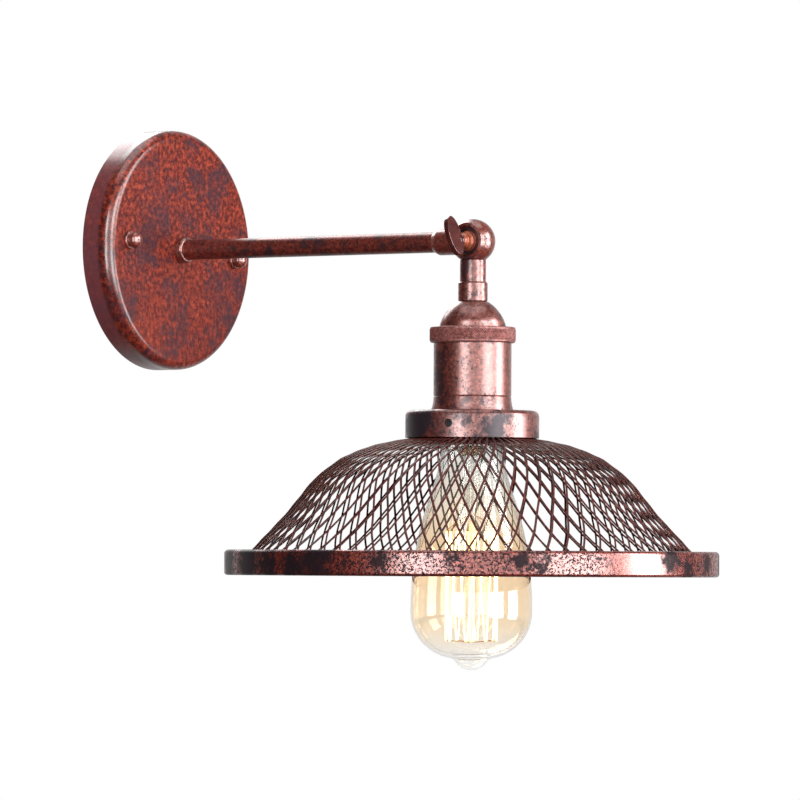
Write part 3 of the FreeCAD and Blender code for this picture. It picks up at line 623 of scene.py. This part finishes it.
def finishPiece(piece, name, body, finish, replaced, smoothAngle=35):
    deselectAll()
    piece.select_set(True)
    bpy.context.view_layer.objects.active = piece
    bpy.ops.object.transform_apply(location=True, rotation=True, scale=True)
    bpy.ops.object.shade_smooth_by_angle(angle=math.radians(smoothAngle))
    bpy.ops.object.modifier_add(type="WEIGHTED_NORMAL")
    piece.modifiers[-1].keep_sharp = True
    bpy.ops.object.modifier_apply(modifier=piece.modifiers[-1].name)
    piece.name = name
    piece.data.name = name
    piece.data.materials.clear()
    piece.data.materials.append(finishes[finish])
    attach(piece, body)
    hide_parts(*replaced)


# lattice: one strand is drawn out from the rim, row by row, then spun round; sizes in millimetres
lattice = {
    "count": 70,
    "width": 1.22,
    "thickness": 0.80,
    "layerDepth": 0.48,        # centre of the outer strands, below the shade's outer face
    "layerGap": 0.80,
    "press": 0.18,             # how far the strands sink into each other where they are welded
    "rowSteps": 4,
    "leanStep": 0.05,          # a strand's lean is measured over this many crossings each way
    "sides": 6,
    "rows": [                  # radius, height and crossings counted from the rim, in millimetres
        (107.0, -150.2, -0.3), (98.4, -141.0, 1.0), (90.2, -132.2, 2.0), (83.6, -123.9, 3.0),
        (76.7, -115.6, 4.0), (68.0, -108.4, 5.0), (62.3, -104.7, 5.65), (47.8, -99.0, 7.4),
        (29.8, -95.27, 9.2),
    ],
}


def smoothBetween(rows, place):
    # Catmull-Rom through the rows; place is the crossing count
    counts = [row[2] for row in rows]
    index = max(i for i in range(len(rows) - 1) if counts[i] <= place + 1e-9)
    low, high = rows[index], rows[index + 1]
    before = rows[index - 1] if index else low
    after = rows[index + 2] if index + 2 < len(rows) else high
    span = high[2] - low[2]
    t = (place - low[2]) / span
    values = []
    for k in (0, 1):
        slopeLow = (high[k] - before[k]) / (high[2] - before[2]) * span
        slopeHigh = (after[k] - low[k]) / (after[2] - low[2]) * span
        values.append((2 * t**3 - 3 * t**2 + 1) * low[k] + (t**3 - 2 * t**2 + t) * slopeLow
                      + (3 * t**2 - 2 * t**3) * high[k] + (t**3 - t**2) * slopeHigh)
    return Vector((values[0], 0, values[1]))


def strandPath(settings, layer):
    # centres, leans and crossings in the plane through the lamp's axis; layer is -1 outer, 1 inner
    rows = settings["rows"]
    first, last = rows[0][2], rows[-1][2]
    steps = round((last - first) * settings["rowSteps"])
    path = []
    for k in range(steps + 1):
        place = first + (last - first) * k / steps
        before = smoothBetween(rows, max(first, place - settings["leanStep"]))
        after = smoothBetween(rows, min(last, place + settings["leanStep"]))
        heading = (after - before).normalized()
        inward = Vector((-heading.z, 0, heading.x))
        if inward.x > 0:
            inward = -inward
        wave = 0.5 + 0.5 * math.cos(2 * math.pi * place)
        depth = settings["layerDepth"] + settings["layerGap"] / 2 * (1 + layer)
        depth -= layer * settings["press"] * wave
        path.append({"centre": smoothBetween(rows, place) + inward * depth,
                     "lean": math.atan2(heading.x, heading.z), "crossing": place})
    return path


def makeStrands(name, layer, hand, settings):
    path = strandPath(settings, layer)
    deselectAll()
    start = hinge + path[0]["centre"] * mm
    bpy.ops.mesh.primitive_circle_add(vertices=settings["sides"], radius=mm / 2, fill_type="NGON",
                                      location=start)
    piece = bpy.context.object
    bpy.ops.object.mode_set(mode="EDIT")
    bpy.ops.mesh.select_all(action="SELECT")
    bpy.ops.transform.resize(value=(settings["thickness"], settings["width"], 1))
    turnSelection(path[0]["lean"], "Y", start)
    for before, after in zip(path, path[1:]):
        step = (after["centre"] - before["centre"]) * mm
        bpy.ops.mesh.extrude_region_move(TRANSFORM_OT_translate={"value": step})
        turnSelection(after["lean"] - before["lean"], "Y", hinge + after["centre"] * mm)
    bpy.ops.object.mode_set(mode="OBJECT")
    bpy.ops.object.transform_apply(location=True, rotation=True, scale=True)
    bpy.ops.object.mode_set(mode="EDIT")
    around = settings["width"] * 0.6 * mm        # takes in one row of the strand and no other
    for row in path:
        spot = hinge + row["centre"] * mm
        selectWhere(piece, lambda co: (co - spot).length < around)
        turnSelection((hand * row["crossing"] + 1) * math.pi / settings["count"], "Z", hinge)
    bpy.ops.mesh.select_all(action="SELECT")
    bpy.ops.mesh.normals_make_consistent(inside=False)
    copies = settings["count"] - 1
    turn = 2 * math.pi * copies / settings["count"]
    bpy.ops.mesh.spin(steps=copies, dupli=True, angle=turn, center=hinge, axis=upward)
    bpy.ops.object.mode_set(mode="OBJECT")
    node = "mesh_outer_strands" if layer < 0 else "mesh_inner_strands"
    finishPiece(piece, name, "lamp_head", "strand", [node],
                smoothAngle=60)


makeStrands("lattice_outer_strands", -1, 1, lattice)
makeStrands("lattice_inner_strands", 1, -1, lattice)
print("lattice drawn")


# turned pieces: a profile is drawn point by point, spun about its axis and softened at its edges
turning = {
    "weld": 0.0005,       # millimetres
    "softFrom": 28,       # edges that turn by more degrees than this are softened
}


def profilePoints(steps, arcDegrees):
    # a step is a point, across and along, and one with two more numbers is an arc through that middle point
    points = [Vector(steps[0])]
    for step in steps[1:]:
        start, end = points[-1], Vector(step[:2])
        if len(step) == 4:
            middle = Vector(step[2:])
            a, b = middle - start, end - start
            cross = 2 * (a.x * b.y - a.y * b.x)
            out = Vector((b.y * a.dot(a) - a.y * b.dot(b), a.x * b.dot(b) - b.x * a.dot(a))) / cross
            centre, radius = start + out, out.length
            first = math.atan2(-out.y, -out.x)
            half = math.atan2((middle - centre).y, (middle - centre).x) - first
            half = (half + math.pi) % (2 * math.pi) - math.pi
            last = math.atan2((end - centre).y, (end - centre).x) - first - half
            last = (last + math.pi) % (2 * math.pi) - math.pi
            sweep = half + last
            count = max(2, math.ceil(abs(math.degrees(sweep)) / arcDegrees))
            for k in range(1, count):
                angle = first + sweep * k / count
                points.append(centre + radius * Vector((math.cos(angle), math.sin(angle))))
        points.append(end)
    return points


def startPoint(place):
    deselectAll()
    bpy.ops.mesh.primitive_plane_add(size=mm, location=place)
    piece = bpy.context.object
    bpy.ops.object.transform_apply(location=True, rotation=True, scale=True)
    bpy.ops.object.mode_set(mode="EDIT")
    bpy.ops.mesh.select_all(action="SELECT")
    bpy.ops.mesh.merge(type="CENTER")
    return piece


def drawOn(points):
    for before, after in zip(points, points[1:]):
        bpy.ops.mesh.extrude_region_move(TRANSFORM_OT_translate={"value": after - before})


def turnPiece(steps, centre, outward, along, sides=96, soft=0.15, closed=True, arcDegrees=9):
    flat = profilePoints(steps, arcDegrees)
    if closed:
        flat.append(flat[0])
    places = [centre + (outward * p.x + along * p.y) * mm for p in flat]
    piece = startPoint(places[0])
    drawOn(places)
    bpy.ops.mesh.select_all(action="SELECT")
    bpy.ops.mesh.spin(steps=sides, angle=2 * math.pi, center=centre, axis=along)
    bpy.ops.mesh.select_all(action="SELECT")
    bpy.ops.mesh.remove_doubles(threshold=turning["weld"] * mm)
    bpy.ops.mesh.normals_make_consistent(inside=False)
    bpy.ops.object.mode_set(mode="OBJECT")
    if soft:
        bpy.ops.object.modifier_add(type="BEVEL")
        edge = piece.modifiers[-1]
        edge.width = soft * mm
        edge.segments = 2
        edge.limit_method = "ANGLE"
        edge.angle_limit = math.radians(turning["softFrom"])
        bpy.ops.object.modifier_apply(modifier=edge.name)
    return piece


def joinPieces(pieces):
    deselectAll()
    for piece in pieces:
        piece.select_set(True)
    bpy.context.view_layer.objects.active = pieces[0]
    bpy.ops.object.join()
    return pieces[0]


# canopy, its nuts and the ring at the arm's root, in millimetres across and out from the wall
canopyShape = {
    "pan": [(60.0, 0), (60.0, 12.0), (55.0, 17.0, 58.54, 15.54), (5.3, 17.0), (5.3, 15.8), (54.6, 15.8),
            (58.8, 11.6), (58.8, 0)],
    "flange": [(5.05, 17.0), (6.6, 17.0), (6.6, 19.8), (5.4, 21.0, 6.25, 20.65), (5.05, 21.0)],
    "nut": [(2.1, 17.0), (4.6, 17.0), (4.6, 18.0), (4.0, 18.6, 4.42, 18.42), (3.2, 18.65), (3.2, 19.6),
            (3.0, 22.9, 4.0, 21.4), (0, 24.0, 1.55, 23.73), (0, 21.0), (2.1, 21.0)],
    "nutSpacing": 88.0,
    "nutTilt": 4.0,
    "sides": {"pan": 160, "flange": 64, "nut": 48},
}


def makeCanopy(shape):
    sides = shape["sides"]
    pan = turnPiece(shape["pan"], Vector(), sideways, outOfWall, sides=sides["pan"], soft=0.3)
    finishPiece(pan, "canopy_pan", "root", "pan", ["canopy"])
    flange = turnPiece(shape["flange"], Vector(), sideways, outOfWall, sides=sides["flange"])
    finishPiece(flange, "arm_root_ring", "root", "turned", ["arm_flange"])
    nuts = []
    for side in (-1, 1):
        tilt, half = math.radians(shape["nutTilt"]), side * shape["nutSpacing"] / 2
        place = Vector((half * math.cos(tilt), 0, -half * math.sin(tilt))) * mm
        nuts.append(turnPiece(shape["nut"], place, sideways, outOfWall, sides=sides["nut"], soft=0.12))
    finishPiece(joinPieces(nuts), "ball_cap_nuts", "root", "knuckle", ["cap_nuts"])


makeCanopy(canopyShape)
print("canopy turned")

# clamp screw: a stepped boss and a flat oval wing, which leans by the screw's turn in the photograph
clampScrew = {
    "stem": [(0, -5.6), (2.5, -5.6), (2.5, 5.0), (4.6, 5.0), (4.6, 6.8), (3.7, 7.2), (3.7, 9.2), (2.9, 9.7),
             (2.9, 11.2), (2.3, 11.6), (2.3, 13.6), (0, 13.6)],
    "centre": 16.7, "rise": 1.9, "halfWidth": 5.3, "halfLength": 9.9, "thickness": 2.6, "tilt": 18.0,
    "edge": 0.55, "sides": 72,
}


def makeClampScrew(shape):
    stem = turnPiece(shape["stem"], hinge, upward, -sideways, sides=48, soft=0.2)
    deselectAll()
    bpy.ops.mesh.primitive_cylinder_add(vertices=shape["sides"], radius=mm, depth=shape["thickness"] * mm)
    wing = bpy.context.object
    bpy.ops.object.mode_set(mode="EDIT")
    bpy.ops.mesh.select_all(action="SELECT")
    bpy.ops.transform.resize(value=(shape["halfLength"], shape["halfWidth"], 1))
    bpy.ops.mesh.select_all(action="DESELECT")
    top = shape["thickness"] / 2 * mm
    rims = bmesh.from_edit_mesh(wing.data)
    for edge in rims.edges:
        edge.select_set(all(abs(abs(v.co.z) - top) < nearly for v in edge.verts))
    bmesh.update_edit_mesh(wing.data)
    bpy.ops.mesh.bevel(offset=shape["edge"] * mm, segments=4, clamp_overlap=True)
    bpy.ops.object.mode_set(mode="OBJECT")
    tilt = math.radians(shape["tilt"])
    long = Vector((0, math.sin(tilt), math.cos(tilt)))
    thick = Vector((0, -math.cos(tilt), math.sin(tilt)))
    stance = Matrix((long, thick.cross(long), thick)).transposed().to_4x4()
    place = hinge + (upward * shape["rise"] - sideways * shape["centre"]) * mm
    wing.matrix_world = Matrix.Translation(place) @ stance
    bpy.context.view_layer.update()
    deselectAll()
    wing.select_set(True)
    bpy.context.view_layer.objects.active = wing
    bpy.ops.object.transform_apply(location=True, rotation=True, scale=True)
    finishPiece(joinPieces([stem, wing]), "wing_clamp_screw", "clamp_screw", "handled",
                ["thumb_screw"])


makeClampScrew(clampScrew)
print("clamp screw shaped")

# lampholder: sleeve, domed cap and shell, in millimetres from the ball's middle
holderShape = {
    "sleeve": [(5.1, -19.75), (6.2, -19.75), (7.15, -20.9, 6.9, -20.1), (7.15, -28.9), (6.7, -29.35),
               (5.1, -29.35)],
    "cap": [(5.1, -29.45), (7.6, -29.45), (16.0, -40.5, 12.6, -33.9), (16.0, -48.6), (14.7, -48.6),
            (14.7, -41.5), (11.0, -34.0), (5.1, -34.0)],
    "shell": [(13.5, -44.0), (14.5, -44.0), (14.5, -49.35), (18.9, -49.35), (18.9, -75.0), (18.55, -75.4),
              (18.9, -75.8), (18.9, -76.0), (20.15, -82.2, 19.2, -79.1), (16.6, -82.2), (16.6, -50.5),
              (13.5, -50.5)],
}
# knurled ring: rows of raised diamonds between two plain lips
knurl = {
    "count": 110, "rows": 5, "top": -42.5, "bottom": -48.5, "radius": 20.7, "height": 0.28,
    "above": [(16.1, -41.7), (20.0, -41.7), (20.7, -42.2, 20.5, -41.85)],
    "below": [(20.7, -48.8), (20.2, -49.3), (16.1, -49.3)],
}


def makeKnurledRing(shape):
    # the spun grid is poked, its own edges are dissolved, and each diamond that is left is raised to a point
    height = (shape["top"] - shape["bottom"]) / shape["rows"]
    rows = [(shape["radius"], shape["top"] - height * k) for k in range(shape["rows"] + 1)]
    profile = shape["above"] + rows + shape["below"]
    ring = turnPiece(profile, hinge, sideways, upward, sides=shape["count"], soft=0)
    levels = [hinge.z + row[1] * mm for row in rows]
    bpy.ops.object.mode_set(mode="EDIT")

    def inBand(co):
        across = math.hypot(co.x - hinge.x, co.y - hinge.y)
        return levels[-1] - nearly < co.z < levels[0] + nearly and across > (shape["radius"] - 0.1) * mm

    def onLevel(co, some):
        return min(abs(co.z - level) for level in some) < nearly

    selectWhere(ring, inBand)
    bpy.ops.mesh.poke(offset=0)
    mesh = bmesh.from_edit_mesh(ring.data)
    for edge in mesh.edges:
        first, second = (v.co for v in edge.verts)
        ofGrid = all(onLevel(co, levels) and inBand(co) for co in (first, second))
        onLip = not onLevel(first, levels[1:-1]) and not onLevel(second, levels[1:-1])
        edge.select_set(ofGrid and not (onLip and abs(first.z - second.z) < nearly))
    bmesh.update_edit_mesh(ring.data)
    bpy.ops.mesh.dissolve_edges(use_verts=False, use_face_split=False)
    mesh = bmesh.from_edit_mesh(ring.data)
    for face in mesh.faces:
        face.select_set(len(face.verts) == 4 and all(inBand(v.co) for v in face.verts))
    bmesh.update_edit_mesh(ring.data)
    bpy.ops.mesh.poke(offset=shape["height"] * mm)
    bpy.ops.object.mode_set(mode="OBJECT")
    finishPiece(ring, "knurled_grip_ring", "lamp_head", "knurl", ["knurled_ring"],
                smoothAngle=22)


def makeHolder(shape):
    pieces = (("sleeve", "turned_sleeve", "neck_sleeve", 64), ("cap", "domed_cap", "dome_cap", 96),
              ("shell", "flared_shell", "socket_shell", 96))
    for key, name, node, sides in pieces:
        piece = turnPiece(shape[key], hinge, sideways, upward, sides=sides, soft=0.15)
        finishPiece(piece, name, "lamp_head", "turned", [node])


makeHolder(holderShape)
makeKnurledRing(knurl)
print("lampholder turned")

# rim: a band rounded over at the top, with a rolled bead at its lower edge
rimShape = {
    "section": [(118.0, -150.2), (119.95, -152.2, 119.38, -150.8), (119.95, -160.9),
                (118.45, -162.5, 119.5, -162.05), (117.4, -162.5), (116.7, -161.9), (117.4, -161.2),
                (118.8, -160.4), (118.8, -152.2), (118.0, -151.4)],
    "sides": 240,
    "soft": 0.1,
}
rim = turnPiece(rimShape["section"], hinge, sideways, upward, sides=rimShape["sides"], soft=rimShape["soft"])
finishPiece(rim, "beaded_rim", "lamp_head", "band", ["shade_rim"])
print("rim turned")

# bulb: blown envelope, zigzag filament and its wire supports
bulbShape = {
    "outline": [(14.3, -91.0), (14.3, -97.0), (21.2, -126.0, 16.6, -111.0), (28.9, -163.9, 26.9, -148.0),
                (29.5, -179.5, 29.4, -172.0), (11.5, -201.95, 23.0, -195.6), (7.4, -204.4, 9.0, -202.8),
                (0, -208.0, 4.0, -207.1)],
    "wall": 0.7, "sides": 128,
    "cageRadius": 12.5, "cageTop": -141.0, "cageBottom": -193.7, "corners": 16, "hook": 0.10,
    "wire": 0.34, "supportWire": 0.16, "stemRadius": 1.4, "hubTop": -133.0, "hubBottom": -194.6,
    "bendShare": 0.55,        # a support bends this far out from the stem
    "bendRise": 1.5,
}


def cagePoint(index, height, radius):
    # a place on the filament's cage; two corners to each zigzag
    angle = 2 * math.pi * index / bulbShape["corners"]
    return hinge + Vector((radius * math.cos(angle), radius * math.sin(angle), height)) * mm


def drawWire(points, radius):
    # a chain of points becomes a curve with a round section, then a mesh
    startPoint(points[0])
    drawOn(points)
    bpy.ops.object.mode_set(mode="OBJECT")
    bpy.ops.object.convert(target="CURVE")
    wire = bpy.context.object
    wire.data.bevel_depth = radius * mm
    wire.data.bevel_resolution = 2
    wire.data.use_fill_caps = True
    bpy.ops.object.convert(target="MESH")
    return bpy.context.object


def makeBulb(shape):
    envelope = turnPiece(shape["outline"], hinge, sideways, upward, sides=shape["sides"], soft=0,
                         closed=False, arcDegrees=4)
    bpy.ops.object.modifier_add(type="SOLIDIFY")
    wall = envelope.modifiers[-1]
    wall.thickness = shape["wall"] * mm
    wall.offset = -1
    bpy.ops.object.modifier_apply(modifier=wall.name)
    finishPiece(envelope, "blown_envelope", "lamp_head", "amberBlownGlass", ["bulb_glass"],
                smoothAngle=60)

    corners, radius = shape["corners"], shape["cageRadius"]
    run = []
    for k in range(corners):
        height = shape["cageBottom"] if k % 2 else shape["cageTop"]
        run += [cagePoint(k + side * shape["hook"], height, radius) for side in (-1, 1)]
    filament = drawWire(run, shape["wire"])
    finishPiece(filament, "glowing_filament", "lamp_head", "filament", ["bulb_filament"],
                smoothAngle=80)

    wires = []
    for k in range(corners):
        height, root, rise = shape["cageTop"], shape["hubTop"], shape["bendRise"]
        if k % 2:
            height, root, rise = shape["cageBottom"], shape["hubBottom"], 0.0
        bend = (height + root) / 2 + rise
        points = [cagePoint(k, root, shape["stemRadius"]), cagePoint(k, bend, radius * shape["bendShare"]),
                  cagePoint(k, height, radius)]
        wires.append(drawWire(points, shape["supportWire"]))
    finishPiece(joinPieces(wires), "filament_hooks", "lamp_head", "molybdenumWire",
                ["filament_supports"], smoothAngle=80)


makeBulb(bulbShape)
print("bulb blown")
